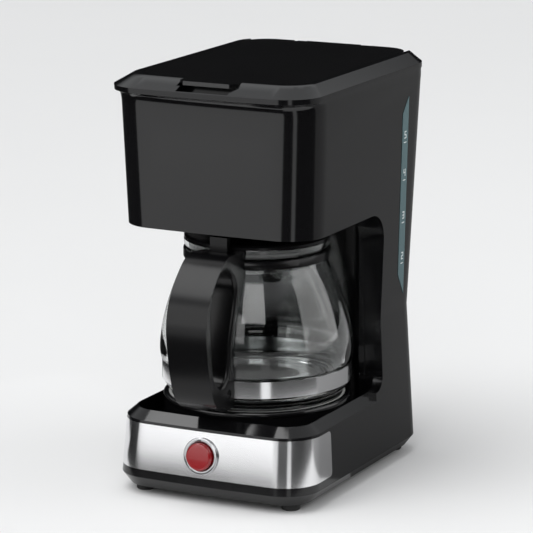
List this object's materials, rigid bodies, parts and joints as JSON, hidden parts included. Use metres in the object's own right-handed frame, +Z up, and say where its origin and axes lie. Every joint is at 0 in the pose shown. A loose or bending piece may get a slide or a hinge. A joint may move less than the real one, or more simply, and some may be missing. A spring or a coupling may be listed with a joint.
{
  "type": "drip coffee maker",
  "caption": "Small filter coffee maker with heated base, rear water tank with level window, top lid, lift-out brew basket and glass jug with handle",
  "frame": {"origin": "on the ground under the middle of the overall box, jug in place", "axes": "+Z up, the front with the jug and the switch faces -Y, +X is the side with the water level window"},
  "size_m": [0.142, 0.217, 0.27],
  "materials": {
    "alu": "cast",
    "ceramic": "moulded",
    "chrome": "polished",
    "clear": "clear",
    "gloss_black": "polished",
    "hose": "translucent",
    "mesh": "woven mesh",
    "plate": "non-stick",
    "print": "print",
    "red": "polished",
    "rubber": "matte",
    "satin_black": "satin",
    "silicone": "silicone",
    "steel": "brushed",
    "tank": "translucent",
    "window": "tinted",
    "wire": "insulated"
  },
  "bodies": {
    "housing": {"lower_housing": "gloss_black", "upper_housing": "gloss_black", "hinge_brackets": "satin_black", "bottom_cover": "satin_black", "housing_screws": "chrome", "feet": "rubber", "front_panel": "steel", "cord_bush": "rubber", "switch_bezel": "chrome", "switch_body": "ceramic", "button_spring": "chrome", "plate_collar": "gloss_black", "plate_seal": "silicone", "warming_plate": "plate", "heater_element": "alu", "heater_bracket": "steel", "thermostat": "alu", "thermal_fuse": "ceramic", "water_tank": "tank", "tank_strainer": "silicone", "inlet_hose": "hose", "check_valve": "ceramic", "riser_hose": "hose", "riser_tube": "hose", "hose_clamps": "chrome", "terminal_block": "ceramic", "wiring": "wire", "head_deck": "satin_black", "brew_chamber": "satin_black", "drip_shield": "satin_black", "hinge_pin": "chrome", "gauge_window": "window", "gauge_marks": "print"},
    "lid": {"tank_lid": "gloss_black", "lid_liner": "satin_black", "shower_head": "satin_black"},
    "button": {"power_button": "red"},
    "basket": {"brew_basket": "satin_black", "filter_mesh": "mesh", "filter_frame": "satin_black", "valve_spring": "chrome", "valve_cage": "satin_black"},
    "valve": {"drip_valve": "silicone"},
    "jug": {"jug_glass": "clear", "jug_band": "steel", "jug_collar": "satin_black", "jug_handle": "satin_black", "handle_screw": "chrome", "jug_lid": "satin_black", "jug_lid_pin": "chrome"}
  },
  "joints": [
    {"name": "lid_hinge", "type": "hinge", "parent": "housing", "child": "lid", "pos_m": [0, 0.10437, 0.267], "axis": [-1, 0, 0], "range_deg": [0, 95]},
    {"name": "button_press", "type": "slide", "parent": "housing", "child": "button", "axis": [0, 0.9926, -0.1211], "range_m": [0, 0.0025]},
    {"name": "basket_lift", "type": "slide", "parent": "housing", "child": "basket", "axis": [0, 0, 1], "range_m": [0, 0.009]},
    {"name": "valve_drop", "type": "slide", "parent": "basket", "child": "valve", "axis": [0, 0, -1], "range_m": [0, 0.0025]},
    {"name": "jug_pull", "type": "slide", "parent": "housing", "child": "jug", "axis": [0, -1, 0], "range_m": [0, 0.15]}
  ],
  "couplings": [
    {"joint": "valve_drop", "follows": "jug_pull", "ratio": 0.016667}
  ]
}
